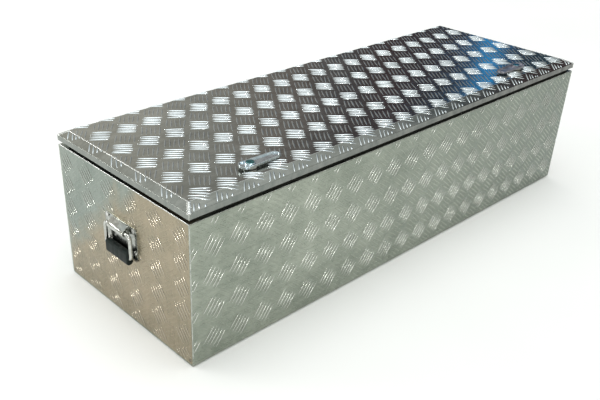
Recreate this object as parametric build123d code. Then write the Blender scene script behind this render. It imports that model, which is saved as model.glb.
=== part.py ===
from build123d import *
import os
from math import sin, cos, tan, atan, radians, pi

# Long aluminium battery box: folded tread-plate body, overlapping-edge lid pan on a continuous hinge,
# two lever latches on the lid and a chest handle on each end.
# X runs along the length, +Y is the hinge side, +Z is up, the origin is under the middle of the box.

os.makedirs("parts", exist_ok=True)

# ---- driving dimensions, mm ----
L = 1100.0            # body length
D = 375.0             # body depth
H = 268.0             # height of the body's top flange
SHEET = 2.5           # sheet thickness of body and lid
BEND = 4.0            # outer bend radius
FLANGE_F = 25.0       # front top flange, inward
FLANGE_B = 34.0       # back top flange, inward
FLANGE_E = 22.0       # end top flanges, inward
GAP = 6.0             # seal gap between body and lid
LIP = 11.6            # vertical lip of the lid
RISE = 7.2            # height of the lid's sloping border
SLOPE_E = 16.0        # width of the slope at the ends
SLOPE_F = 21.5        # width of the slope at the front
SLOPE_B = 12.0        # width of the slope at the back
LID_RETURN = 24.0     # lid return flange, inward
HINGE_OFF = 2.0       # hinge axis inside the back face
PIN_R = 1.2
KNUCKLE_R = 2.7
KNUCKLE_BORE = 1.25
LEAF_T = 1.2
LEAF_W = 17.0
HINGE_L = 1053.0
KNUCKLES = 27
KNUCKLE_GAP = 0.3
HINGE_RIVETS = 10
LATCH_X = 387.0       # latch centres from the middle
LATCH_Y = 51.0        # latch centres behind the front face
LEVER_REACH = 64.0
LEVER_NOSE_R = 12.5   # rounded nose behind the key
LEVER_TIP_R = 10.0
LEVER_NOSE = 9.5       # nose centre behind the latch axis
CAM_REACH = 38.0
HANDLE_Z = 182.0      # handle pivot height
HANDLE_OUT = 8.5      # handle pivot off the end face
BAIL_R = 3.4
BAIL_HALF = 36.5      # half width of the bail's arms
BAIL_DROP = 45.0      # pivot to cross bar
GRIP_W = 66.0

PROUD = KNUCKLE_R - HINGE_OFF
YF = -(D + PROUD) / 2          # front face
YB = YF + D                    # back face
XE = L / 2                     # end faces
LID_Z = H + GAP
CREASE_Z = LID_Z + LIP
TOP_Z = CREASE_Z + RISE
AXIS_Y = YB - HINGE_OFF
AXIS_Z = H + GAP / 2


def bx(x0, x1, y0, y1, z0, z1):
    return Box(abs(x1 - x0), abs(y1 - y0), abs(z1 - z0)).moved(
        Location(((x0 + x1) / 2, (y0 + y1) / 2, (z0 + z1) / 2))
    )


def cz(x, y, z0, z1, r):
    return Cylinder(r, z1 - z0).moved(Location((x, y, (z0 + z1) / 2)))


def cx(x0, x1, y, z, r):
    return Cylinder(r, x1 - x0).moved(Location(((x0 + x1) / 2, y, z), (0, 90, 0)))


def cy(x, y0, y1, z, r):
    return Cylinder(r, y1 - y0).moved(Location((x, (y0 + y1) / 2, z), (90, 0, 0)))


def save(shape, name):
    solids = shape.solids() if not isinstance(shape, list) else [s for q in shape for s in q.solids()]
    out = solids[0] if len(solids) == 1 else Compound(children=[Solid(s.wrapped) for s in solids])
    out.label = name
    export_step(out, f"parts/{name}.step")
    print(name, len(solids), round(sum(s.volume for s in solids)))


# ---- body: one sheet folded front / floor / back with inward top flanges ----


def rounded_box(x0, x1, y0, y1, z0, z1, r, top):
    b = bx(x0, x1, y0, y1, z0, z1)
    es = [e for e in b.edges().filter_by(Axis.X) if e.center().Z < (z0 + z1) / 2]
    b = fillet(es, r)
    if top:
        es = [e for e in b.edges().filter_by(Axis.X) if e.center().Z > z1 - 0.01]
        b = fillet(es, top)
    return b


hinge_xs = [(-0.5 + (i + 0.5) / HINGE_RIVETS) * (HINGE_L - 40) for i in range(HINGE_RIVETS)]
rivet_y = AXIS_Y - 11.0

outer = rounded_box(-XE, XE, YF, YB, 0, H, BEND, 2.4)
inner = rounded_box(-XE - 1, XE + 1, YF + SHEET, YB - SHEET, SHEET, H - SHEET, BEND - SHEET, 0)
wrap = outer - inner
wrap -= bx(-XE - 1, XE + 1, YF + FLANGE_F, YB - FLANGE_B, H - SHEET - 1, H + 1)
for s in (-1, 1):
    wrap -= bx(s * (XE - FLANGE_E), s * (XE + 1), YF + SHEET, YB - SHEET, H - SHEET - 1, H + 1)
for x in hinge_xs:
    wrap -= cz(x, rivet_y, H - SHEET - 1, H + 1, 1.6)
save(wrap, "body_wrap")

# ---- ends: panels between the front and back walls, with an inward top flange and a corner relief ----
rivet_pts = [(-38, HANDLE_Z + 9.0), (38, HANDLE_Z + 9.0), (-38, HANDLE_Z - 34.0), (38, HANDLE_Z - 34.0)]
YC = (YF + YB) / 2


def end_panel(s):
    p = bx(s * (XE - SHEET), s * XE, YF + SHEET, YB - SHEET, SHEET, H)
    p += bx(s * (XE - FLANGE_E), s * XE, YF + SHEET, YB - SHEET, H - SHEET, H)
    p = fillet([e for e in p.edges().filter_by(Axis.Y) if abs(abs(e.center().X) - XE) < 0.01 and e.center().Z > H - 0.01], 2.4)
    for y in (YF + SHEET, YB - SHEET):
        p -= cx(s * XE - 3, s * XE + 3, y, SHEET, 2.2)
    for y in (YF + 8.5, YB - 8.5):
        p -= cx(s * XE - 3, s * XE + 3, y, 9.5, 2.6)
    for dy, z in rivet_pts:
        p -= cx(s * XE - 4, s * XE + 4, YC + dy, z, 2.0)
    return p


save(end_panel(-1), "end_panel_left")
save(end_panel(1), "end_panel_right")

# ---- loose ribbed rubber mat on the floor ----
mat = bx(-XE + 5, XE - 5, YF + 6.5, YB - 6.5, SHEET, SHEET + 3)
save(mat, "floor_mat")


# ---- seal: four lengths of D-section rubber on the top flange ----
SEAL_W, SEAL_H, SEAL_IN = 9.0, GAP - 0.3, 8.0


def seal(x0, x1, y0, y1, axis):
    b = bx(x0, x1, y0, y1, H, H + SEAL_H)
    es = [e for e in b.edges().filter_by(axis) if e.center().Z > H + SEAL_H - 0.01]
    return fillet(es, 3.0)


seal_yb = AXIS_Y - LEAF_W - 1.5
save(seal(-XE + SEAL_IN, XE - SEAL_IN, YF + SEAL_IN, YF + SEAL_IN + SEAL_W, Axis.X), "seal_front")
save(seal(-XE + SEAL_IN, XE - SEAL_IN, seal_yb - SEAL_W, seal_yb, Axis.X), "seal_back")
for s, n in ((-1, "left"), (1, "right")):
    save(seal(s * (XE - SEAL_IN), s * (XE - SEAL_IN - SEAL_W), YF + SEAL_IN + SEAL_W, seal_yb - SEAL_W, Axis.Y), "seal_" + n)

# ---- continuous hinge in the seal gap: axis along X just inside the back face ----
pitch = HINGE_L / KNUCKLES


def leaf(lower):
    if lower:
        plate = bx(-HINGE_L / 2, HINGE_L / 2, AXIS_Y - LEAF_W, AXIS_Y, H, H + LEAF_T)
    else:
        plate = bx(-HINGE_L / 2, HINGE_L / 2, AXIS_Y - LEAF_W, AXIS_Y, LID_Z - LEAF_T, LID_Z)
    mine, theirs = [], []
    for i in range(KNUCKLES):
        x0 = -HINGE_L / 2 + i * pitch
        if (i % 2 == 0) == lower:
            mine.append(cx(x0 + (KNUCKLE_GAP / 2 if i else 0), x0 + pitch - (KNUCKLE_GAP / 2 if i < KNUCKLES - 1 else 0), AXIS_Y, AXIS_Z, KNUCKLE_R))
        else:
            theirs.append(bx(x0 - KNUCKLE_GAP / 2, x0 + pitch + KNUCKLE_GAP / 2, AXIS_Y - KNUCKLE_R - 0.4, AXIS_Y + 5, H - 1, LID_Z + 1))
    out = plate - theirs
    out = out + mine
    # the rolled knuckles stay between the two sheet faces
    out -= cx(-HINGE_L, HINGE_L, AXIS_Y, AXIS_Z, KNUCKLE_BORE)
    for x in hinge_xs:
        out -= cz(x, rivet_y, H - 5, LID_Z + 5, 1.6)
    return out


save(leaf(True), "hinge_leaf_body")
save(leaf(False), "hinge_leaf_lid")
save(cx(-HINGE_L / 2, HINGE_L / 2, AXIS_Y, AXIS_Z, PIN_R), "hinge_pin")


def rivet_z(x, y, z0, z1, h, r=1.6, hr=2.8):
    return cz(x, y, z0 - h, z0, hr) + cz(x, y, z0, z1, r) + cz(x, y, z1, z1 + h, hr)


save([rivet_z(x, rivet_y, H - SHEET, H + LEAF_T, 0.9) for x in hinge_xs], "hinge_rivets_body")
save([rivet_z(x, rivet_y, LID_Z - LEAF_T, LID_Z + SHEET, 0.9) for x in hinge_xs], "hinge_rivets_lid")


# ---- lid: one folded pan with a sloping border, vertical lip and inward return flange ----
def frustum(x_in, yf_in, yb_in, x_out, yf_out, yb_out, z0, z1):
    lo = Plane.XY.offset(z0) * Pos(0, (yf_out + yb_out) / 2) * Rectangle(2 * x_out, yb_out - yf_out)
    hi = Plane.XY.offset(z1) * Pos(0, (yf_in + yb_in) / 2) * Rectangle(2 * x_in, yb_in - yf_in)
    return loft([lo, hi])


def slope_in(w):
    a = atan(RISE / w)
    return (RISE - SHEET + SHEET / cos(a)) / tan(a)


lid = bx(-XE, XE, YF, YB, LID_Z, CREASE_Z)
lid = fillet([e for e in lid.edges().filter_by(Axis.X) if e.center().Z < LID_Z + 0.01], 2.4)
lid = fillet([e for e in lid.edges().filter_by(Axis.Z)], 1.5)
lid += frustum(XE - SLOPE_E, YF + SLOPE_F, YB - SLOPE_B, XE, YF, YB, CREASE_Z, TOP_Z)
za = CREASE_Z - 1.75
core = bx(-XE + SHEET, XE - SHEET, YF + SHEET, YB - SHEET, LID_Z + SHEET, za)
core += frustum(
    XE - slope_in(SLOPE_E), YF + slope_in(SLOPE_F), YB - slope_in(SLOPE_B),
    XE - SHEET, YF + SHEET, YB - SHEET, za, TOP_Z - SHEET,
)
lid -= core
lid -= bx(-XE + LID_RETURN, XE - LID_RETURN, YF + LID_RETURN, YB - LID_RETURN - 8, LID_Z - 1, LID_Z + SHEET + 0.5)
for x in hinge_xs:
    lid -= cz(x, rivet_y, LID_Z - 1, LID_Z + SHEET + 1, 1.6)
for s in (-1, 1):
    lid -= cz(s * LATCH_X, YF + LATCH_Y, TOP_Z - 5, TOP_Z + 1, 8.0)
save(lid, "lid_shell")


# ---- lever latches: m = 1 puts the lever towards +X (left latch), m = -1 mirrors it ----
BARREL_R, BORE_R, SPIN_R = 8.0, 4.1, 4.05
CAM_TOP = H - SHEET - 0.4
CAM_T = 3.0
LEVER_Z0 = TOP_Z + 4.2
LEVER_T = 4.0


def paddle(x, y, m, inset, z0, z1):
    """Prism over two circles joined by their tangents, nose behind the axis and tip out along m."""
    x1, x2 = x - m * LEVER_NOSE, x + m * (LEVER_REACH - LEVER_TIP_R)
    r1, r2 = LEVER_NOSE_R - inset, LEVER_TIP_R - inset
    c = (r1 - r2) / abs(x2 - x1)
    sn = (1 - c * c) ** 0.5
    a1, a2 = (x1 + m * r1 * c, y + r1 * sn), (x2 + m * r2 * c, y + r2 * sn)
    b1, b2 = (x1 + m * r1 * c, y - r1 * sn), (x2 + m * r2 * c, y - r2 * sn)
    outline = Line(a1, a2) + ThreePointArc(a2, (x2 + m * r2, y), b2) + Line(b2, b1) + ThreePointArc(b1, (x1 - m * r1, y), a1)
    return extrude(Plane.XY.offset(z0) * make_face(outline), z1 - z0)


def latch(name, m):
    x, y = -m * LATCH_X, YF + LATCH_Y
    gasket = cz(x, y, TOP_Z, TOP_Z + 0.8, 13.0) - cz(x, y, TOP_Z - 1, TOP_Z + 2, BARREL_R)
    save(gasket, f"latch_gasket_{name}")
    hz = TOP_Z + 0.8
    housing = cz(x, y, hz, LEVER_Z0 - 0.3, 12.0) + cz(x, y, TOP_Z - 16, hz, BARREL_R)
    housing -= cz(x, y, TOP_Z - 20, LEVER_Z0 + 1, BORE_R)
    save(housing, f"latch_housing_{name}")
    nz = TOP_Z - SHEET
    nut = extrude(Plane.XY.offset(nz - 5) * Pos(x, y) * RegularPolygon(13.0, 6), 5)
    nut -= cz(x, y, nz - 6, nz + 1, BARREL_R)
    save(nut, f"latch_nut_{name}")
    # lever: tapered paddle with a rim turned up all round, and a boss for the key
    lever = paddle(x, y, m, 0.0, LEVER_Z0, LEVER_Z0 + LEVER_T) - paddle(x, y, m, 2.2, LEVER_Z0 + 1.8, LEVER_Z0 + 20)
    lever += cz(x, y, LEVER_Z0, LEVER_Z0 + LEVER_T + 1.2, 9.0)
    lever -= cz(x, y, LEVER_Z0 + 1.6, LEVER_Z0 + 20, 7.0)
    lever -= cz(x, y, LEVER_Z0 - 2, LEVER_Z0 + 20, 3.0)
    lever -= cz(x + m * (LEVER_REACH - 11), y, LEVER_Z0 - 2, LEVER_Z0 + 20, 1.8)
    save(lever, f"latch_lever_{name}")
    plug = cz(x, y, LEVER_Z0 + 1.9, LEVER_Z0 + LEVER_T + 1.6, 6.94)
    plug -= bx(x - 3.4, x + 3.4, y - 0.7, y + 0.7, LEVER_Z0 + 3.0, LEVER_Z0 + 20)
    save(plug, f"latch_key_plug_{name}")
    spindle = cz(x, y, CAM_TOP, LEVER_Z0, SPIN_R)
    spindle += cz(x, y, LEVER_Z0, LEVER_Z0 + 1.6, 3.0)
    spindle += bx(x - 2.8, x + 2.8, y - 2.8, y + 2.8, CAM_TOP - CAM_T, CAM_TOP)
    spindle -= cz(x, y, CAM_TOP - CAM_T - 1, CAM_TOP + 8, 2.0)
    save(spindle, f"latch_spindle_{name}")
    cam = bx(x + m * 9, x - m * (CAM_REACH - 7), y - 7.5, y + 7.5, CAM_TOP - CAM_T, CAM_TOP)
    cam += cz(x - m * (CAM_REACH - 7.5), y, CAM_TOP - CAM_T, CAM_TOP, 7.5)
    cam -= bx(x - 2.8, x + 2.8, y - 2.8, y + 2.8, CAM_TOP - CAM_T - 1, CAM_TOP + 1)
    save(cam, f"latch_cam_{name}")
    bolt = extrude(Plane.XY.offset(CAM_TOP - CAM_T - 4) * Pos(x, y) * RegularPolygon(5.8, 6), 4)
    bolt += cz(x, y, CAM_TOP - CAM_T, CAM_TOP + 7, 2.0)
    save(bolt, f"latch_cam_bolt_{name}")


latch("left", 1)
latch("right", -1)


# ---- chest handles: pressed plate, rolled hood round the pivot, drop bail with a moulded grip ----
def handle(name, s):
    xp = s * (XE + HANDLE_OUT)
    f0, f1 = s * XE, s * (XE + 1.5)
    plate = bx(f0, f1, YC - 46, YC + 46, HANDLE_Z - 46, HANDLE_Z + 14)
    plate = fillet([e for e in plate.edges().filter_by(Axis.X)], 7.0)
    for dy, z in rivet_pts:
        plate -= cx(min(f0, f1) - 1, max(f0, f1) + 1, YC + dy, z, 2.0)
    save(plate, f"handle_plate_{name}")
    hw = 23.0
    web = Plane.XZ * Polyline(
        (f1, HANDLE_Z + 12), (f1 + s * 1.5, HANDLE_Z + 12), (xp + s * 5.3, HANDLE_Z + 4.0), (xp, HANDLE_Z), (f1, HANDLE_Z - 4), (f1, HANDLE_Z + 12)
    )
    web = extrude(make_face(web), hw, both=True).moved(Location((0, YC, 0)))
    hood = web + cy(xp, YC - hw, YC + hw, HANDLE_Z, 6.6)
    hood -= bx(s * XE - s * 5, f1, YC - 60, YC + 60, HANDLE_Z - 20, HANDLE_Z + 30)
    hood -= cy(xp, YC - hw - 1, YC + hw + 1, HANDLE_Z, BAIL_R + 0.08)
    save(hood, f"handle_hood_{name}")
    # bail: a closed rectangular loop of round bar with radiused corners
    zb = HANDLE_Z - BAIL_DROP
    pts = [(xp, YC, HANDLE_Z), (xp, YC + BAIL_HALF, HANDLE_Z), (xp, YC + BAIL_HALF, zb), (xp, YC - BAIL_HALF, zb), (xp, YC - BAIL_HALF, HANDLE_Z), (xp, YC, HANDLE_Z)]
    half = FilletPolyline(*[Vector(*p) for p in pts[0:3]], (xp, YC, zb), radius=8.0)
    sec = Plane(origin=(xp, YC, HANDLE_Z), z_dir=(0, 1, 0)) * Circle(BAIL_R)
    arm = sweep(sec, path=half)
    bail = arm + mirror(arm, Plane.XZ.offset(-YC))
    save(bail, f"handle_bail_{name}")
    g = bx(xp - 6.2, xp + 6.2, YC - GRIP_W / 2, YC + GRIP_W / 2, zb - 12.0, zb + 13)
    low = [e for e in g.edges().filter_by(Axis.X) if e.center().Z < zb]
    g = chamfer(low, 7.0)
    g = fillet(g.edges().filter_by(Axis.Y), 4.5)
    g -= bail
    save(g, f"handle_grip_{name}")
    rv = []
    for dy, z in rivet_pts:
        a, b = s * (XE - SHEET), f1
        r = cx(min(a, b), max(a, b), YC + dy, z, 2.0)
        r += cx(min(b, b + s * 1.6), max(b, b + s * 1.6), YC + dy, z, 3.8)
        r += cx(min(a, a - s * 1.6), max(a, a - s * 1.6), YC + dy, z, 3.2)
        rv.append(r)
    save(rv, f"handle_rivets_{name}")


handle("left", -1)
handle("right", 1)
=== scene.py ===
import math
import bmesh
import bpy
import numpy as np
from mathutils import Matrix, Vector


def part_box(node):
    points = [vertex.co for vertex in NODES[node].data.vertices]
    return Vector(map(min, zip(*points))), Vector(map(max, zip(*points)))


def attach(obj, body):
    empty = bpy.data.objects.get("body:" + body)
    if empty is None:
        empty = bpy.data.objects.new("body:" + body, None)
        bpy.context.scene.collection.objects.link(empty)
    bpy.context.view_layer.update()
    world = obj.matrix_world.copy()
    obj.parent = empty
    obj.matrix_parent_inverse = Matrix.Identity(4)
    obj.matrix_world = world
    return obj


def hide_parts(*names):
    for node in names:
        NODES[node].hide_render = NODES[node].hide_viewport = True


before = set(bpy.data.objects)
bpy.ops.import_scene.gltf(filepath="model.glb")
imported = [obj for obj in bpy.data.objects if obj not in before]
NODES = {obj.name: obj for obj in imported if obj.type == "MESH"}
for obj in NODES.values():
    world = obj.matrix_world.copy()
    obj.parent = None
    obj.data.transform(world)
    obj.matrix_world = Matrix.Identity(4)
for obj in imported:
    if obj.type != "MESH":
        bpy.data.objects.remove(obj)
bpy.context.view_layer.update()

MM = 0.001

# ---------------------------------------------------------------- sizes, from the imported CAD
lo_b, hi_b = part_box("body_wrap")
lo_l, hi_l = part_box("lid_shell")
XE = hi_b.x / MM                     # 550
YF, YB = lo_b.y / MM, hi_b.y / MM    # front and back faces
YC = (YF + YB) / 2
H = hi_b.z / MM                      # 268
LID_Z, TOP_Z = lo_l.z / MM, hi_l.z / MM
CREASE_Z = LID_Z + 11.6
RISE = TOP_Z - CREASE_Z
SLOPE_E, SLOPE_F, SLOPE_B = 16.0, 21.5, 12.0
BEND = 2.4

rng = np.random.default_rng(7)


# ---------------------------------------------------------------- camera
def make_camera():
    cam = bpy.data.cameras.new("camera")
    cam.lens = 46.682
    cam.sensor_width = 36.0
    cam.sensor_fit = "HORIZONTAL"
    cam.shift_x = 0.05624
    cam.shift_y = 0.06098
    cam.clip_start = 0.05
    cam.clip_end = 60
    ob = bpy.data.objects.new("camera", cam)
    bpy.context.scene.collection.objects.link(ob)
    r = Vector((0.73792, -0.67445, 0.02423))
    d = Vector((-0.33008, -0.39199, -0.85871))
    f = Vector((0.58866, 0.62566, -0.51188))
    m = Matrix.Identity(4)
    for i in range(3):
        m[i][0], m[i][1], m[i][2] = r[i], -d[i], -f[i]
    m[0][3] = (-589.51 - XE) * MM
    m[1][3] = (-791.12 + YF) * MM
    m[2][3] = 836.33 * MM
    ob.matrix_world = m
    bpy.context.scene.camera = ob


make_camera()


# ---------------------------------------------------------------- node helpers
def new_mat(name):
    m = bpy.data.materials.new(name)
    m.use_nodes = True
    nt = m.node_tree
    nt.nodes.clear()
    out = nt.nodes.new("ShaderNodeOutputMaterial")
    b = nt.nodes.new("ShaderNodeBsdfPrincipled")
    nt.links.new(b.outputs["BSDF"], out.inputs["Surface"])
    return m, nt, b


def coords(nt, scale=(1, 1, 1), rot=(0, 0, 0)):
    tc = nt.nodes.new("ShaderNodeTexCoord")
    mp = nt.nodes.new("ShaderNodeMapping")
    mp.inputs["Scale"].default_value = scale
    mp.inputs["Rotation"].default_value = rot
    nt.links.new(tc.outputs["Object"], mp.inputs["Vector"])
    return mp.outputs["Vector"]


def noise(nt, vec, scale, detail=4, rough=0.55, dist=0.0):
    n = nt.nodes.new("ShaderNodeTexNoise")
    n.inputs["Scale"].default_value = scale
    n.inputs["Detail"].default_value = detail
    n.inputs["Roughness"].default_value = rough
    n.inputs["Distortion"].default_value = dist
    nt.links.new(vec, n.inputs["Vector"])
    return n.outputs["Fac"]


def ramp(nt, fac, stops):
    r = nt.nodes.new("ShaderNodeValToRGB")
    el = r.color_ramp.elements
    while len(el) < len(stops):
        el.new(0.5)
    for e, (p, c) in zip(el, stops):
        e.position = p
        e.color = (*c, 1) if len(c) == 3 else c
    nt.links.new(fac, r.inputs["Fac"])
    return r.outputs["Color"]


def val(nt, fac, a, b, lo=0.3, hi=0.7):
    m = nt.nodes.new("ShaderNodeMapRange")
    m.inputs["From Min"].default_value = lo
    m.inputs["From Max"].default_value = hi
    m.inputs["To Min"].default_value = a
    m.inputs["To Max"].default_value = b
    nt.links.new(fac, m.inputs["Value"])
    return m.outputs["Result"]


def math_(nt, op, a, b=None):
    m = nt.nodes.new("ShaderNodeMath")
    m.operation = op
    for i, v in enumerate((a, b)):
        if v is None:
            continue
        if isinstance(v, (int, float)):
            m.inputs[i].default_value = v
        else:
            nt.links.new(v, m.inputs[i])
    return m.outputs["Value"]


def bump(nt, bsdf, height, strength, dist, prev=None):
    b = nt.nodes.new("ShaderNodeBump")
    b.inputs["Strength"].default_value = strength
    b.inputs["Distance"].default_value = dist
    nt.links.new(height, b.inputs["Height"])
    if prev is not None:
        nt.links.new(prev, b.inputs["Normal"])
    nt.links.new(b.outputs["Normal"], bsdf.inputs["Normal"])
    return b.outputs["Normal"]


def mix_col(nt, fac, a, b):
    m = nt.nodes.new("ShaderNodeMix")
    m.data_type = "RGBA"
    for key, v in (("Factor", fac), ("A", a), ("B", b)):
        sock = [s for s in m.inputs if s.name == key and s.type in (("VALUE",) if key == "Factor" else ("RGBA",))][0]
        if isinstance(v, (int, float)):
            sock.default_value = v
        elif isinstance(v, tuple):
            sock.default_value = (*v, 1) if len(v) == 3 else v
        else:
            nt.links.new(v, sock)
    return [s for s in m.outputs if s.type == "RGBA"][0]


# ---------------------------------------------------------------- materials
def edge_normal(nt, radius):
    """Rounds every hard edge in shading, as the real bend or burr would be."""
    e = nt.nodes.new("ShaderNodeBevel")
    e.samples = 6
    e.inputs["Radius"].default_value = radius
    return e.outputs["Normal"]


def tread_material(name, dark, light, r0, r1, grain_axis=0, bar=False, reflection_tint=None, edge=0.0012, lip=False, calm=False, far_shade=None, inner=None):
    m, nt, b = new_mat(name)
    b.inputs["Metallic"].default_value = 1.0
    b.inputs["IOR"].default_value = 1.45
    v = coords(nt)
    stretch = [1.0, 1.0, 1.0]
    stretch[grain_axis] = 0.06
    vs = coords(nt, scale=tuple(stretch))
    big = noise(nt, v, 5.5, 3, 0.6, 0.4)
    mid = noise(nt, v, 42.0, 4, 0.6)
    fine = noise(nt, vs, 900.0, 3, 0.6)
    streak = noise(nt, vs, 160.0, 4, 0.7)
    tone = math_(nt, "ADD", math_(nt, "MULTIPLY", big, 0.45), math_(nt, "MULTIPLY", mid, 0.30))
    tone = math_(nt, "ADD", tone, math_(nt, "MULTIPLY", streak, 0.25))
    col = ramp(nt, tone, [(0.38, dark), (0.62, light)])
    if reflection_tint is not None:
        # painted reflection: a beige cast in broad soft patches below a slanting line, cooler towards the top back
        # corner, standing in for the ground mirrored in the end walls
        patch = noise(nt, v, 9.0, 3, 0.6, 0.8)
        sep = nt.nodes.new("ShaderNodeSeparateXYZ")
        nt.links.new(v, sep.inputs["Vector"])
        edge_z = math_(nt, "MULTIPLY_ADD", sep.outputs["Y"], -0.92)
        edge_z.node.inputs[2].default_value = 0.082 + 0.92 * 0.162
        f = math_(nt, "MULTIPLY_ADD", math_(nt, "SUBTRACT", edge_z, sep.outputs["Z"]), 1 / 0.07)
        f.node.inputs[2].default_value = 0.5
        f = math_(nt, "ADD", f, val(nt, patch, -0.45, 0.45, 0.35, 0.65))
        cl = nt.nodes.new("ShaderNodeClamp")
        nt.links.new(f, cl.inputs["Value"])
        tint = nt.nodes.new("ShaderNodeMix")
        tint.data_type = "RGBA"
        tint.blend_type = "MULTIPLY"
        socks = [q for q in tint.inputs if q.type == "RGBA"]
        nt.links.new(cl.outputs["Result"], [q for q in tint.inputs if q.type == "VALUE"][0])
        nt.links.new(col, socks[0])
        socks[1].default_value = (*reflection_tint, 1)
        col = [q for q in tint.outputs if q.type == "RGBA"][0]
    if far_shade is not None:
        # painted shade: the colour darkens towards the right end (+X)
        sep = nt.nodes.new("ShaderNodeSeparateXYZ")
        nt.links.new(v, sep.inputs["Vector"])
        col = mix_col(nt, val(nt, sep.outputs["X"], 0.0, 1.0, -0.30, 0.55), col, far_shade)
    if lip:
        # painted shade: the vertical lip below the crease is darkened, more towards the right end, in smeared patches
        sep = nt.nodes.new("ShaderNodeSeparateXYZ")
        nt.links.new(v, sep.inputs["Vector"])
        low = val(nt, sep.outputs["Z"], 1.0, 0.0, CREASE_Z * MM - 0.0002, CREASE_Z * MM + 0.0006)
        smear = noise(nt, coords(nt, scale=(1, 1, 0.3)), 75.0, 4, 0.65)
        lip_shade = mix_col(nt, val(nt, sep.outputs["X"], 0.0, 1.0, -0.45, 0.40), (0.20, 0.22, 0.205), (0.085, 0.09, 0.088))
        col = mix_col(nt, math_(nt, "MULTIPLY", low, val(nt, smear, 0.55, 1.0)), col, lip_shade)
    if inner is not None:
        # the plain inside face of the sheet is a paler mill finish
        sep = nt.nodes.new("ShaderNodeSeparateXYZ")
        nt.links.new(v, sep.inputs["Vector"])
        x_lim, y_lo, y_hi, z_lo, z_hi = inner
        mask = math_(nt, "LESS_THAN", math_(nt, "ABSOLUTE", sep.outputs["X"]), x_lim)
        for test, out, lim in (("GREATER_THAN", "Y", y_lo), ("LESS_THAN", "Y", y_hi), ("GREATER_THAN", "Z", z_lo), ("LESS_THAN", "Z", z_hi)):
            mask = math_(nt, "MULTIPLY", mask, math_(nt, test, sep.outputs[out], lim))
        col = mix_col(nt, mask, col, mix_col(nt, streak, (0.55, 0.55, 0.53), (0.72, 0.72, 0.70)))
        nt.links.new(math_(nt, "SUBTRACT", 1.0, math_(nt, "MULTIPLY", mask, 0.55)), b.inputs["Metallic"])
    nt.links.new(col, b.inputs["Base Color"])
    rr = math_(nt, "ADD", math_(nt, "MULTIPLY", mid, 0.5), math_(nt, "MULTIPLY", streak, 0.5))
    rough = val(nt, rr, r0, r1, 0.36, 0.64)
    if inner is not None:
        rough = math_(nt, "ADD", rough, math_(nt, "MULTIPLY", mask, 0.22))
    nt.links.new(rough, b.inputs["Roughness"])
    n0 = None if bar else edge_normal(nt, edge)
    n1 = bump(nt, b, big, 0.5, 0.0022 if not bar else 0.0006, n0)
    n2 = bump(nt, b, mid, 0.25, 0.0004 if not calm else 0.0001, n1)
    bump(nt, b, fine, 0.12, 0.00012, n2)
    return m


INSIDE = (XE * MM - 0.0008, YF * MM + 0.0008, YB * MM - 0.0008, 0.0008, H * MM - 0.0003)
# One tread plate covers every face, but the walls' sheets are darker, greener copies of the lid's sheet: painted shade
# and painted reflection for walls turned away from the bright ceiling.
MAT = {}
# the lid's sheet carries painted shade on its vertical lip
MAT["sheet_lid"] = tread_material("tread_sheet_lid", (0.30, 0.305, 0.275), (0.485, 0.49, 0.455), 0.11, 0.22, lip=True)
# The bars are the same metal as the sheet. The glinting families are lighter copies, pale blue on the lid: painted
# highlight and painted reflection. The low and cross bars keep the sheet's colour.
MAT["bar_lid"] = tread_material("tread_bar_lid", (0.56, 0.60, 0.62), (0.80, 0.86, 0.89), 0.10, 0.17, bar=True)
MAT["bar_lid_cross"] = tread_material("tread_bar_lid_cross", (0.34, 0.355, 0.35), (0.44, 0.46, 0.455), 0.36, 0.46, bar=True)
# painted shade on the front and back walls: darker towards the right end
MAT["sheet_body_shaded"] = tread_material("tread_sheet_body", (0.24, 0.27, 0.225), (0.40, 0.43, 0.365), 0.22, 0.34, far_shade=(0.195, 0.225, 0.195), inner=INSIDE)
MAT["bar_body"] = tread_material("tread_bar_body", (0.48, 0.50, 0.46), (0.64, 0.66, 0.62), 0.14, 0.24, bar=True)
# painted reflection tint for the end walls and their bars: beige low down, cooler high at the back
END_REFLECTION_TINT = (1.30, 0.99, 0.80)
MAT["sheet_end_shaded"] = tread_material("tread_sheet_end", (0.205, 0.245, 0.215), (0.315, 0.35, 0.315), 0.22, 0.34, grain_axis=2, reflection_tint=END_REFLECTION_TINT, inner=INSIDE)
MAT["bar_body_low"] = tread_material("tread_bar_body_low", (0.27, 0.30, 0.25), (0.38, 0.41, 0.35), 0.24, 0.34, bar=True)
MAT["bar_end_low"] = tread_material("tread_bar_end_low", (0.23, 0.265, 0.235), (0.32, 0.355, 0.32), 0.24, 0.34, grain_axis=2, bar=True, reflection_tint=END_REFLECTION_TINT)
# the steep end bars carry a weaker copy of the painted reflection tint
MAT["bar_end"] = tread_material("tread_bar_end", (0.38, 0.40, 0.37), (0.46, 0.48, 0.45), 0.07, 0.11, grain_axis=2, bar=True, reflection_tint=(1.14, 1.0, 0.90), calm=True)


def metal(name, dark, light, r0, r1, scale=60.0, bumpd=0.0001, streak=None, edge=0.0006, spark=0.25):
    m, nt, b = new_mat(name)
    b.inputs["Metallic"].default_value = 1.0
    v = coords(nt, scale=streak or (1, 1, 1))
    a = noise(nt, v, scale, 4, 0.6)
    c = noise(nt, v, scale * 9, 3, 0.6)
    nt.links.new(ramp(nt, a, [(0.35, dark), (0.66, light)]), b.inputs["Base Color"])
    nt.links.new(val(nt, a, r0, r1, 0.35, 0.65), b.inputs["Roughness"])
    n1 = bump(nt, b, a, 0.3, bumpd * 3, edge_normal(nt, edge) if edge else None)
    bump(nt, b, c, spark, bumpd, n1)
    return m


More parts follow.
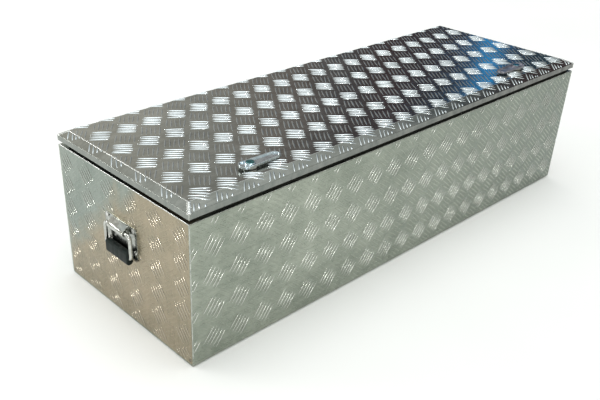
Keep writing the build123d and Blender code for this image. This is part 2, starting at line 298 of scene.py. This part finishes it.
# The handle's plate, hood and bail are one chrome plating: the plate's copy is darker, painted shade behind the hood
# and grip; the hood and bail's copy is lighter, a painted highlight.
MAT["chrome"] = metal("chrome_plate", (0.26, 0.27, 0.25), (0.50, 0.51, 0.48), 0.07, 0.20, 150, 0.00016, spark=0.5)
MAT["hood"] = metal("hood_plate", (0.42, 0.43, 0.40), (0.60, 0.61, 0.58), 0.08, 0.17, 110, 0.0001)
MAT["bright"] = metal("bright_chrome", (0.52, 0.54, 0.54), (0.72, 0.74, 0.74), 0.07, 0.16, 90, 0.00008)
# The two levers are one plated part: the left copy is painted lighter and bluish, a painted highlight and sky
# reflection; the right copy is darker, painted shade.
MAT["lever"] = metal("lever_plating", (0.62, 0.70, 0.75), (0.80, 0.88, 0.92), 0.14, 0.24, 90, 0.00006, edge=0.0009, spark=0.12)
MAT["lever_shaded"] = metal("lever_plating_shaded", (0.26, 0.26, 0.30), (0.46, 0.45, 0.50), 0.30, 0.44, 90, 0.00008, edge=0.0009, spark=0.2)
# painted reflection: the plated plug face is coloured dark teal for the surroundings mirrored in it
MAT["plug"] = metal("key_plug_plating", (0.04, 0.20, 0.22), (0.12, 0.40, 0.42), 0.14, 0.26, 200, 0.0001)
MAT["zinc"] = metal("zinc_steel", (0.42, 0.42, 0.40), (0.60, 0.59, 0.56), 0.28, 0.45, 120, 0.0001)
MAT["hinge"] = metal("hinge_aluminium", (0.50, 0.50, 0.49), (0.64, 0.64, 0.62), 0.28, 0.42, 200, 0.0001, (0.05, 1, 1))
MAT["rivet"] = metal("rivet_aluminium", (0.55, 0.55, 0.54), (0.72, 0.72, 0.70), 0.20, 0.34, 300, 0.0001)
# painted highlight: the fold lines and end rims are near white so the rounded bends read as bright lines
MAT["fold"] = metal("fold_painted_highlight", (0.46, 0.47, 0.45), (0.90, 0.91, 0.90), 0.14, 0.26, 260, 0.0001, edge=0)
MAT["seam"] = metal("brushed_seam", (0.34, 0.36, 0.33), (0.60, 0.62, 0.58), 0.22, 0.36, 200, 0.0002, edge=0)
# the ground weld is lighter metal than the sheet, and lighter still as a painted highlight along the hips
MAT["weld"] = metal("ground_weld", (0.60, 0.62, 0.60), (0.86, 0.87, 0.85), 0.16, 0.30, 500, 0.00025, edge=0)


def dull(name, dark, light, r0, r1, scale, dist, spec=0.4):
    m, nt, b = new_mat(name)
    b.inputs["Metallic"].default_value = 0.0
    b.inputs["Specular IOR Level"].default_value = spec
    v = coords(nt)
    a = noise(nt, v, scale, 4, 0.6)
    f = noise(nt, v, scale * 14, 3, 0.6)
    nt.links.new(ramp(nt, a, [(0.34, dark), (0.66, light)]), b.inputs["Base Color"])
    nt.links.new(val(nt, a, r0, r1, 0.35, 0.65), b.inputs["Roughness"])
    bump(nt, b, f, 0.5, dist)
    return m


MAT["rubber"] = dull("seal_rubber", (0.010, 0.010, 0.010), (0.022, 0.022, 0.021), 0.55, 0.75, 90, 0.0003)
MAT["mat_rubber"] = dull("mat_rubber", (0.035, 0.035, 0.035), (0.065, 0.063, 0.061), 0.6, 0.85, 40, 0.0003)
MAT["grip"] = dull("grip_plastic", (0.006, 0.010, 0.009), (0.014, 0.022, 0.020), 0.40, 0.60, 60, 0.00014, spec=0.16)


def put(names, key):
    for n in names:
        ob = NODES[n]
        if not ob.material_slots:
            ob.data.materials.append(MAT[key])
        for s in ob.material_slots:
            s.material = MAT[key]


both = lambda *p: [f"{n}_{s}" for n in p for s in ("left", "right")]
put(["body_wrap"], "sheet_body_shaded")
put(both("end_panel"), "sheet_end_shaded")
put(["lid_shell"], "sheet_lid")
put(["seal_front", "seal_back", "seal_left", "seal_right"] + both("latch_gasket"), "rubber")
put(["floor_mat"], "mat_rubber")
put(["hinge_leaf_body", "hinge_leaf_lid"], "hinge")
put(["hinge_rivets_body", "hinge_rivets_lid"] + both("handle_rivets"), "rivet")
put(["hinge_pin"] + both("latch_nut", "latch_cam", "latch_cam_bolt", "latch_spindle"), "zinc")
put(both("handle_plate", "handle_hood"), "chrome")
put(both("latch_housing"), "bright")
put(both("handle_bail"), "hood")
# painted highlight on the left lever, painted shade on the right one
put(["latch_lever_left"], "lever")
put(["latch_lever_right"], "lever_shaded")
put(both("latch_key_plug"), "plug")
put(both("handle_grip"), "grip")


# ---------------------------------------------------------------- mesh helper
def mesh_object(name, verts, faces, mat, body, smooth=True):
    me = bpy.data.meshes.new(name)
    me.from_pydata([tuple(map(float, v)) for v in verts], [], faces)
    me.validate()
    if smooth:
        me.polygons.foreach_set("use_smooth", [True] * len(me.polygons))
    me.update()
    bm = bmesh.new()
    bm.from_mesh(me)
    bmesh.ops.recalc_face_normals(bm, faces=bm.faces)
    bm.to_mesh(me)
    bm.free()
    ob = bpy.data.objects.new(name, me)
    bpy.context.scene.collection.objects.link(ob)
    me.materials.append(mat)
    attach(ob, body)
    return ob


# ---------------------------------------------------------------- tread bars
BAR_L, BAR_W, BAR_H, BAR_SP = 35.0, 3.9, 1.15, 7.8
DIR_A = np.array([1.0, -0.765]) / math.hypot(1, 0.765)
DIR_B = np.array([0.765, 1.0]) / math.hypot(1, 0.765)
NS = 9
S_ALONG = np.array([-1.0, -0.86, -0.6, -0.3, 0.0, 0.3, 0.6, 0.86, 1.0])
CROSS = [(-1.0, -0.35), (-0.72, 0.55), (-0.34, 1.0), (0.34, 1.0), (0.72, 0.55), (1.0, -0.35)]


def bar_points(centre, direction, length, width, height, power=2.2):
    """Sheet coordinates (u, v, h) of one lens-shaped rolled bar: rows along it, five points across."""
    side = np.array([-direction[1], direction[0]])
    rows = []
    for s in S_ALONG:
        k = max(0.06, 1 - abs(s) ** power)
        w = width / 2 * k ** 0.75
        hh = height * k ** 0.6
        row = []
        for c, z in CROSS:
            p = centre + direction * (s * length / 2) + side * (c * w)
            row.append((p[0], p[1], hh * z if z > 0 else z * 0.9))
        rows.append(row)
    return rows


def bar_faces(base):
    f = []
    nc = len(CROSS)
    for i in range(NS - 1):
        for j in range(nc - 1):
            a = base + i * nc + j
            f.append((a, a + 1, a + nc + 1, a + nc))
        a = base + i * nc
        f.append((a + nc - 1, a, a + nc, a + 2 * nc - 1))
    f.append(tuple(base + j for j in range(nc)))
    last = base + (NS - 1) * nc
    f.append(tuple(last + j for j in reversed(range(nc))))
    return f


def clip(c, d, ln, allowed):
    """The longest run of the bar's centre line that lies on the sheet: a new centre and length, or None."""
    n = 34
    best, run, start = (0, 0), 0, 0
    for i in range(n + 1):
        p = c + d * ln * (i / n - 0.5)
        if allowed(p):
            if run == 0:
                start = i
            run += 1
            if run > best[1]:
                best = (start, run)
        else:
            run = 0
    if best[1] < 2:
        return None
    a, e = best[0] / n - 0.5, (best[0] + best[1] - 1) / n - 0.5
    return c + d * ln * (a + e) / 2, ln * (e - a)


def tread(name, groups, mapper, allowed, mat, body, height=BAR_H, width=BAR_W, shortest=8.0, power=2.2, stray=1.0):
    """groups: list of (centre u, v, direction). mapper turns (u, v, h) into a point. allowed says where the sheet is."""
    verts, faces = [], []
    for cu, cv, d in groups:
        side = np.array([-d[1], d[0]])
        for k in range(-2, 3):
            r = rng.standard_normal(6) * stray
            ln = BAR_L * (1 + 0.02 * r[0])
            c = np.array([cu, cv]) + side * (k * BAR_SP + 0.25 * r[1]) + d * 0.7 * r[2]
            t = 0.040 * r[3]
            dd = np.array([d[0] - d[1] * t, d[1] + d[0] * t])
            got = clip(c, dd, ln, allowed)
            if got is None or got[1] < shortest:
                continue
            c, ln = got
            rows = bar_points(c, dd, ln, width * (1 + 0.04 * r[4]), height * (1 + 0.06 * r[5]), power)
            base = len(verts)
            for row in rows:
                for u, v, h in row:
                    verts.append(np.array(mapper(u, v, h)) * MM)
            faces += bar_faces(base)
    return mesh_object(name, verts, faces, mat, body)


def lattice(u0, v0, pu, pv, nu, nv, da, db):
    out = []
    for i in range(nu[0], nu[1]):
        for j in range(nv[0], nv[1]):
            out.append((u0 + i * pu, v0 + j * pv, da))
            out.append((u0 + (i + 0.5) * pu, v0 + (j + 0.5) * pv, db))
    return out


# lid: plateau, slopes and lip are one sheet, so the pattern runs over the folds
LS_E, LS_F, LS_B = (math.hypot(w, RISE) for w in (SLOPE_E, SLOPE_F, SLOPE_B))
LIP = CREASE_Z - LID_Z
PX, PYF, PYB = XE - SLOPE_E, YF + SLOPE_F, YB - SLOPE_B


def lid_map(u, v, h):
    ox, of, ob = abs(u) - PX, PYF - v, v - PYB
    side = max(("x", ox), ("f", of), ("b", ob), key=lambda t: t[1])
    if side[1] <= 0:
        return (u, v, TOP_Z + h)
    s = side[1]
    sg = math.copysign(1, u)
    if side[0] == "x":
        w, ls = SLOPE_E, LS_E
    elif side[0] == "f":
        w, ls = SLOPE_F, LS_F
    else:
        w, ls = SLOPE_B, LS_B
    if s <= ls:
        t = s / ls
        out, z = w * t, TOP_Z - RISE * t
        no, nz = RISE / ls, w / ls
    else:
        t = 1.0
        out, z = w, CREASE_Z - min(s - ls, LIP - 2.6)
        no, nz = 1.0, 0.0
    out += no * h
    z += nz * h
    if side[0] == "x":
        lim0, lim1 = PYF - SLOPE_F * t + 1.2, PYB + SLOPE_B * t - 1.2
        return (sg * (PX + out), min(max(v, lim0), lim1), z)
    lim = PX + SLOPE_E * t - 1.2
    uu = min(max(u, -lim), lim)
    if side[0] == "f":
        return (uu, PYF - out, z)
    return (uu, PYB + out, z)


latch_x = [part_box("latch_housing_left"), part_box("latch_housing_right")]
LATCH = [(((a.x + b.x) / 2) / MM, ((a.y + b.y) / 2) / MM) for a, b in latch_x]
LSKIRT = 13.6


def lid_allowed(p):
    ox, of, ob = abs(p[0]) - PX, PYF - p[1], p[1] - PYB
    tx = ox / LS_E
    ty = max(of / LS_F, ob / LS_B)
    if tx > 0.95 or ty > 0.95:
        return False
    if tx > 0 and ty > 0 and abs(tx - ty) < 0.25:
        return False
    for lx, ly in LATCH:
        if math.hypot(p[0] - lx, p[1] - ly) < LSKIRT + 1.6:
            return False
    return True


def on_plateau(p):
    return lid_allowed(p) and abs(p[0]) < PX - 0.8 and PYF + 0.8 < p[1] < PYB - 0.8


def on_slope(p):
    return lid_allowed(p) and (abs(p[0]) > PX + 0.5 or p[1] < PYF - 0.5 or p[1] > PYB + 0.5)


lid_groups = lattice(-XE + 44.9, YF + 31.4, 53.6, 68.6, (-2, 22), (-2, 7), DIR_A, DIR_B)
long_groups = [g for g in lid_groups if g[2] is DIR_A]
cross_groups = [g for g in lid_groups if g[2] is DIR_B]
tread("lid_tread_bars_long", long_groups, lid_map, lambda p: lid_allowed(p) and abs(p[0]) < PX - 0.8, MAT["bar_lid"], "lid", shortest=20.0)
tread("lid_tread_bars_cross", cross_groups, lid_map, on_plateau, MAT["bar_lid_cross"], "lid", height=0.28, width=3.6)
tread("lid_tread_bars_border", cross_groups, lid_map, on_slope, MAT["bar_lid"], "lid", width=3.6, shortest=4.0)


# front and back walls
def wall_keep(lo_u, hi_u, lo_v, hi_v, holes=()):
    def allowed(p):
        if not (lo_u < p[0] < hi_u and lo_v < p[1] < hi_v):
            return False
        return not any(a0 < p[0] < a1 and b0 < p[1] < b1 for a0, a1, b0, b1 in holes)
    return allowed


def wall_map(place, lo_u, hi_u, lo_v, hi_v):
    def mp(u, v, h):
        return place(min(max(u, lo_u), hi_u), min(max(v, lo_v), hi_v), h)
    return mp


ZL, ZH = 3.4, H - 2.8
f_groups = lattice(-XE + 18.3, H - 21.7 - 4 * 58.7, 53.6, 58.7, (-1, 22), (-1, 6), DIR_A, DIR_B)
front_place = wall_map(lambda u, v, h: (u, YF - h, v), -XE + 1.5, XE - 1.5, ZL, ZH)
back_place = wall_map(lambda u, v, h: (-u, YB + h, v), -XE + 1.5, XE - 1.5, ZL, ZH)
for wall, place in (("front", front_place), ("back", back_place)):
    keep = wall_keep(-XE + 1.5, XE - 1.5, ZL, ZH)
    tread(f"{wall}_tread_bars_rising", [g for g in f_groups if g[2] is DIR_B], place, keep, MAT["bar_body"], "root",
          height=1.0, width=3.0, shortest=5.0, stray=0.6)
    tread(f"{wall}_tread_bars_falling", [g for g in f_groups if g[2] is DIR_A], place, keep, MAT["bar_body_low"], "root",
          height=0.5, width=3.6, shortest=5.0)

# end walls: sheet turned a quarter turn, so the bars stand steeper. u runs from the back to the front on the left end
E_A = np.array([0.62, -0.785])
E_B = np.array([0.785, 0.62])
e_groups = lattice(18.75, H - 29.5 - 5 * 45.7, 66.7, 45.7, (-1, 7), (-1, 7), E_A, E_B)
pl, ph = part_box("handle_plate_left")
hole = (YB - ph.y / MM - 2.5, YB - pl.y / MM + 2.5, pl.z / MM - 2.5, ph.z / MM + 2.5)
relief = [(8.5 - 5, 8.5 + 5, 4, 15), (375 - 13.5, 375 - 3.5, 4, 15)]
eu0, eu1 = 4.5, (YB - YF) - 4.5
for nm, sg in (("left", -1), ("right", 1)):
    if sg < 0:
        place = lambda u, v, h: (-XE - h, YB - u, v)
    else:
        place = lambda u, v, h: (XE + h, YF + u, v)
    keep = wall_keep(eu0, eu1, 5.0, ZH, [hole] + relief)
    tread(f"end_tread_bars_steep_{nm}", [g for g in e_groups if g[2] is E_A], wall_map(place, eu0, eu1, 5.0, ZH), keep,
          MAT["bar_end"], "root", height=0.72, width=2.8, shortest=5.0, power=2.0, stray=0.3)
    tread(f"end_tread_bars_flat_{nm}", [g for g in e_groups if g[2] is E_B], wall_map(place, eu0, eu1, 5.0, ZH), keep,
          MAT["bar_end_low"], "root", height=0.35, width=3.6, shortest=5.0, power=2.0)


# ---------------------------------------------------------------- weld beads along the corners
def bead(name, runs, body, mat, ripple=0.22, step=None):
    """runs: list of (start, end, normal, width, height, drop). A low bead with a rippled crown follows each run; drop
    is how fast the surface falls away beside the edge."""
    verts, faces = [], []
    cs = (-1.0, -0.72, -0.36, 0.0, 0.36, 0.72, 1.0)
    for a, e, nrm, w, h, drop in runs:
        a, e, nrm = Vector(a), Vector(e), Vector(nrm).normalized()
        d = (e - a)
        ln = d.length
        d.normalize()
        tan = nrm.cross(d).normalized()
        pace = step or (0.8 if ln < 400 else 1.6)
        n = max(8, int(ln / pace))
        base = len(verts)
        for i in range(n + 1):
            s_ = ln * i / n
            taper = min(1.0, (s_ + 0.4) / 1.6, (ln - s_ + 0.4) / 1.6)
            wave = math.sin(2 * math.pi * s_ / 2.6 + 0.6 * math.sin(s_ * 0.31))
            ww = w / 2 * (1 + 0.06 * wave + 0.05 * rng.standard_normal()) * (0.55 + 0.45 * taper)
            hh = h * (1 + ripple * wave + 0.08 * rng.standard_normal()) * taper
            c0 = a + d * s_
            for c in cs:
                z = hh * (1 - c * c) - abs(c) * w / 2 * drop - (0.35 if abs(c) == 1 else 0.0)
                p = c0 + tan * (c * ww) + nrm * z
                verts.append(np.array(p) * MM)
        m = len(cs)
        for i in range(n):
            for j in range(m - 1):
                q = base + i * m + j
                faces.append((q, q + 1, q + m + 1, q + m))
            q = base + i * m
            faces.append((q + m - 1, q, q + m, q + 2 * m - 1))
        faces.append(tuple(base + j for j in range(m)))
        last = base + n * m
        faces.append(tuple(last + j for j in reversed(range(m))))
    return mesh_object(name, verts, faces, MAT[mat], body)


hip, lip_run, body_run, folds, rims = [], [], [], [], []
for sx in (-1, 1):
    for py, ye, sy, sw in ((PYF, YF, -1, SLOPE_F), (PYB, YB, 1, SLOPE_B)):
        n_hip = (sx * RISE / LS_E, sy * RISE / math.hypot(sw, RISE), 1.86)
        hip.append(((sx * (PX - 0.6), py - sy * 0.6, TOP_Z + 0.02), (sx * (XE - 0.5), ye - sy * 0.5, CREASE_Z + 0.15), n_hip, 8.0, 0.5, 0.22))
        lip_run.append(((sx * XE, ye, CREASE_Z - 0.4), (sx * XE, ye, LID_Z + 0.6), (sx, sy, 0), 2.2, 0.3, 0.95))
        body_run.append(((sx * XE, ye, 17.0), (sx * XE, ye, H - 0.8), (sx, sy, 0), 2.0, 0.25, 0.95))
    folds.append(((sx * PX, PYF, TOP_Z), (sx * PX, PYB, TOP_Z), (sx * 0.2, 0, 1), 2.4, 0.16, 0.2))
    rims.append(((sx * XE, YF + 1, H), (sx * XE, YB - 1, H), (sx, 0, 1), 2.8, 0.15, 0.95))
for yy, sy in ((PYF, -1), (PYB, 1)):
    folds.append(((-PX, yy, TOP_Z), (PX, yy, TOP_Z), (0, sy * 0.16, 1), 1.5, 0.08, 0.16))
rims_front = [((-XE + 1, YF, H), (XE - 1, YF, H), (0, -1, 1), 1.2, 0.06, 0.95)]
mlo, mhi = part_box("floor_mat")
ribs = []
k = 0
while mlo.y / MM + 10 + 13.0 * k < mhi.y / MM - 8:
    yy = mlo.y / MM + 10 + 13.0 * k
    ribs.append(((mlo.x / MM + 6, yy, mhi.z / MM), (mhi.x / MM - 6, yy, mhi.z / MM), (0, 0, 1), 5.0, 1.1, 0.0))
    k += 1
bead("floor_mat_ribs", ribs, "root", "mat_rubber", 0.0, step=30.0)
bead("lid_hip_welds", hip, "lid", "weld", 0.12)
bead("lid_corner_seams", lip_run, "lid", "seam")
bead("body_corner_seams", body_run, "root", "seam")
# fold lines and end rims carry the painted highlight material
bead("lid_fold_lines", folds, "lid", "fold", 0.3)
bead("end_panel_rims", rims, "root", "fold", 0.6)
bead("front_rim", rims_front, "root", "seam", 0.5)


# ---------------------------------------------------------------- bevelled profiles for the handles
def offset_loop(pts, by):
    """Closed counter-clockwise loop moved inwards by a distance."""
    out = []
    n = len(pts)
    for i in range(n):
        p0, p1, p2 = (np.array(pts[j % n], float) for j in (i - 1, i, i + 1))
        e1, e2 = p1 - p0, p2 - p1
        e1 /= np.linalg.norm(e1)
        e2 /= np.linalg.norm(e2)
        n1, n2 = np.array([-e1[1], e1[0]]), np.array([-e2[1], e2[0]])
        k = n1 + n2
        k /= np.linalg.norm(k)
        out.append(p1 + k * by / max(0.5, float(k @ n1)))
    return out


def round_loop(pts, radii, n=5):
    """Closed loop of corners, each rounded by its own radius."""
    out = []
    m = len(pts)
    for i in range(m):
        p0, p1, p2 = (np.array(pts[j % m], float) for j in (i - 1, i, i + 1))
        r = radii[i]
        if r <= 0:
            out.append(p1)
            continue
        u, w = p0 - p1, p2 - p1
        u /= np.linalg.norm(u)
        w /= np.linalg.norm(w)
        ang = math.acos(max(-1, min(1, float(u @ w))))
        t = r / math.tan(ang / 2)
        a, e = p1 + u * t, p1 + w * t
        mid = (u + w) / np.linalg.norm(u + w)
        c = p1 + mid * r / math.sin(ang / 2)
        a0 = math.atan2(*(a - c)[::-1])
        a1 = math.atan2(*(e - c)[::-1])
        da = (a1 - a0 + math.pi) % (2 * math.pi) - math.pi
        for k in range(n + 1):
            th = a0 + da * k / n
            out.append(c + r * np.array([math.cos(th), math.sin(th)]))
    return out


def area2(pts):
    return sum(pts[i - 1][0] * pts[i][1] - pts[i][0] * pts[i - 1][1] for i in range(len(pts)))


def prism(name, loop, a0, a1, place, bevel, mat, body, waist=None):
    """A loop drawn in (p, q) and extended along a third axis from a0 to a1, with rounded end edges.
    place turns (p, q, a) into a point. waist(a) insets the loop along the length."""
    if area2(loop) < 0:
        loop = loop[::-1]
    first = [(a0 + bevel * (1 - math.cos(math.pi / 2 * k / 3)), bevel * (1 - math.sin(math.pi / 2 * k / 3))) for k in range(4)]
    mid = []
    if waist:
        n = 26
        mid = [(a0 + bevel + (a1 - a0 - 2 * bevel) * i / n, None) for i in range(1, n)]
    rings = first + mid + [(a0 + a1 - a, o) for a, o in reversed(first)]
    verts, faces = [], []
    n = len(loop)
    for a, o in rings:
        w = waist(a) if waist else 0.0
        ring = offset_loop(loop, (o or 0.0) + w)
        for p, q in ring:
            verts.append(np.array(place(p, q, a)) * MM)
    for i in range(len(rings) - 1):
        for j in range(n):
            faces.append((i * n + j, i * n + (j + 1) % n, (i + 1) * n + (j + 1) % n, (i + 1) * n + j))
    faces.append(tuple(range(n)))
    faces.append(tuple((len(rings) - 1) * n + j for j in reversed(range(n))))
    ob = mesh_object(name, verts, faces, MAT[mat], body)
    ob.data.set_sharp_from_angle(angle=0.7)
    return ob


for nm, sg in (("left", -1), ("right", 1)):
    blo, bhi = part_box(f"handle_hood_{nm}")
    glo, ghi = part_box(f"handle_grip_{nm}")
    llo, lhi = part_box(f"handle_bail_{nm}")
    # pivot: the bail's cross pin, 3.4 mm radius, at the top of the bail's box
    rb = (lhi.x - llo.x) / MM / 2
    px = (llo.x + lhi.x) / MM / 2
    pz = lhi.z / MM - rb
    out = abs(px) - XE
    hw = (bhi.y - blo.y) / MM / 2
    top = bhi.z / MM
    rr = 6.7
    prof = [(1.5, top), (2.6, top + 0.1), (4.2, top - 0.7), (6.6, top - 2.5), (9.2, top - 4.5), (11.4, pz + 6.1)]
    prof += [(out + rr * math.cos(math.radians(t)), pz + rr * math.sin(math.radians(t))) for t in range(48, -121, -12)]
    # the roll is open inside, 0.5 mm clear of the pin all round, with its gap low at the back
    prof += [(out + (rb + 0.5) * math.cos(math.radians(t)), pz + (rb + 0.5) * math.sin(math.radians(t))) for t in range(-120, 201, 10)]
    prof += [(3.6, pz - 4.4), (1.5, pz - 4.4)]
    place = lambda p, q, a, sg=sg: (sg * (XE + p), a, q)
    hood = prism(f"handle_hood_shell_{nm}", prof, YC - hw, YC + hw, place, 0.8, "hood", "root")
    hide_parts(f"handle_hood_{nm}")
    # the grip: a rounded block with four shallow grooves around it
    gz0, gz1 = glo.z / MM, ghi.z / MM
    g0, g1 = glo.y / MM, ghi.y / MM
    gx = (ghi.x - glo.x) / MM / 2
    gp = [(out - gx, gz1), (out + gx, gz1), (out + gx, gz0), (out - gx, gz0)]
    loop = round_loop(gp, [4.4, 4.0, 5.4, 5.4])

    def waist(a, g0=g0, g1=g1):
        t = (a - g0) / (g1 - g0)
        groove = 0.0
        for c in (0.2, 0.4, 0.6, 0.8):
            groove += 0.55 * math.exp(-(((t - c) * (g1 - g0)) / 1.1) ** 2)
        return groove

    grip = prism(f"handle_grip_body_{nm}", loop, g0, g1, place, 2.6, "grip", f"bail_{nm}", waist)
    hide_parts(f"handle_grip_{nm}")


# ---------------------------------------------------------------- floor, world, lights
def make_stage():
    me = bpy.data.meshes.new("floor")
    s = 40.0
    me.from_pydata([(-s, -s, 0), (s, -s, 0), (s, s, 0), (-s, s, 0)], [], [(0, 1, 2, 3)])
    ob = bpy.data.objects.new("floor", me)
    ob.location.z = -0.0012
    bpy.context.scene.collection.objects.link(ob)
    m, nt, b = new_mat("floor_paint")
    b.inputs["Metallic"].default_value = 0.0
    b.inputs["Specular IOR Level"].default_value = 0.2
    v = coords(nt)
    a = noise(nt, v, 1.3, 3, 0.5)
    nt.links.new(ramp(nt, a, [(0.3, (0.91, 0.91, 0.90)), (0.7, (0.94, 0.94, 0.93))]), b.inputs["Base Color"])
    nt.links.new(val(nt, a, 0.7, 0.85), b.inputs["Roughness"])
    me.materials.append(m)


make_stage()

world = bpy.data.worlds.new("studio")
bpy.context.scene.world = world
world.use_nodes = True


def make_world():
    """A big soft ceiling over pale walls, with a darker wall behind the right end, and a narrow blue card in it."""
    nt = world.node_tree
    nt.nodes.clear()
    out = nt.nodes.new("ShaderNodeOutputWorld")
    bg = nt.nodes.new("ShaderNodeBackground")
    nt.links.new(bg.outputs["Background"], out.inputs["Surface"])
    tc = nt.nodes.new("ShaderNodeTexCoord")
    sep = nt.nodes.new("ShaderNodeSeparateXYZ")
    nt.links.new(tc.outputs["Generated"], sep.inputs["Vector"])
    x, y, z = sep.outputs["X"], sep.outputs["Y"], sep.outputs["Z"]

    def smooth(v, lo, hi, a=0.0, b=1.0):
        m = nt.nodes.new("ShaderNodeMapRange")
        m.interpolation_type = "SMOOTHSTEP"
        m.inputs["From Min"].default_value = lo
        m.inputs["From Max"].default_value = hi
        m.inputs["To Min"].default_value = a
        m.inputs["To Max"].default_value = b
        nt.links.new(v, m.inputs["Value"])
        return m.outputs["Result"]

    az = math_(nt, "ARCTAN2", y, x)
    el = math_(nt, "ARCSINE", z)
    rad = math.radians
    dark = math_(nt, "MULTIPLY", smooth(az, rad(63), rad(36)), smooth(az, rad(-25), rad(4)))
    mott = nt.nodes.new("ShaderNodeTexNoise")
    mott.inputs["Scale"].default_value = 5.0
    mott.inputs["Detail"].default_value = 3.0
    nt.links.new(tc.outputs["Generated"], mott.inputs["Vector"])
    shade = mix_col(nt, smooth(mott.outputs["Fac"], 0.42, 0.62), (0.035, 0.080, 0.115), (0.085, 0.055, 0.060))
    low = mix_col(nt, dark, (0.66, 0.65, 0.60), shade)
    card = math_(nt, "MULTIPLY", smooth(az, rad(29.9), rad(30.4)), smooth(az, rad(31.9), rad(31.4)))
    card = math_(nt, "MULTIPLY", card, smooth(el, rad(34), rad(26)))
    low = mix_col(nt, math_(nt, "MULTIPLY", card, 0.9), low, (0.05, 0.62, 1.45))
    col = mix_col(nt, smooth(el, rad(33), rad(46)), low, (0.70, 0.75, 0.74))
    col = mix_col(nt, smooth(el, rad(54), rad(72)), col, (2.75, 2.8, 2.8))
    nt.links.new(col, bg.inputs["Color"])
    bg.inputs["Strength"].default_value = 1.0


make_world()


def area(name, loc, target, size, power, color=(1, 1, 1), size_y=None):
    li = bpy.data.lights.new(name, "AREA")
    li.shape = "RECTANGLE" if size_y else "SQUARE"
    li.size = size
    if size_y:
        li.size_y = size_y
    li.energy = power
    li.color = color
    ob = bpy.data.objects.new(name, li)
    bpy.context.scene.collection.objects.link(ob)
    ob.location = loc
    d = Vector(target) - Vector(loc)
    ob.rotation_euler = d.to_track_quat("-Z", "Y").to_euler()
    return ob


area("front_left", (-1.75, -3.7, 1.05), (0.0, 0, 0.15), 0.40, 13, (1.0, 1.0, 0.98))
area("front_mid", (-0.2, -3.65, 0.85), (0.35, -0.19, 0.12), 0.34, 8, (1.0, 1.0, 0.98))
area("end_left", (-3.53, -0.17, 0.43), (-0.55, 0, 0.15), 0.26, 9, (1.0, 0.99, 0.96))
area("back_left", (-2.1, 2.25, 1.5), (-0.55, 0, 0.2), 1.2, 16, (1.0, 1.0, 0.98), size_y=0.25)

bpy.context.scene.view_settings.view_transform = "Standard"
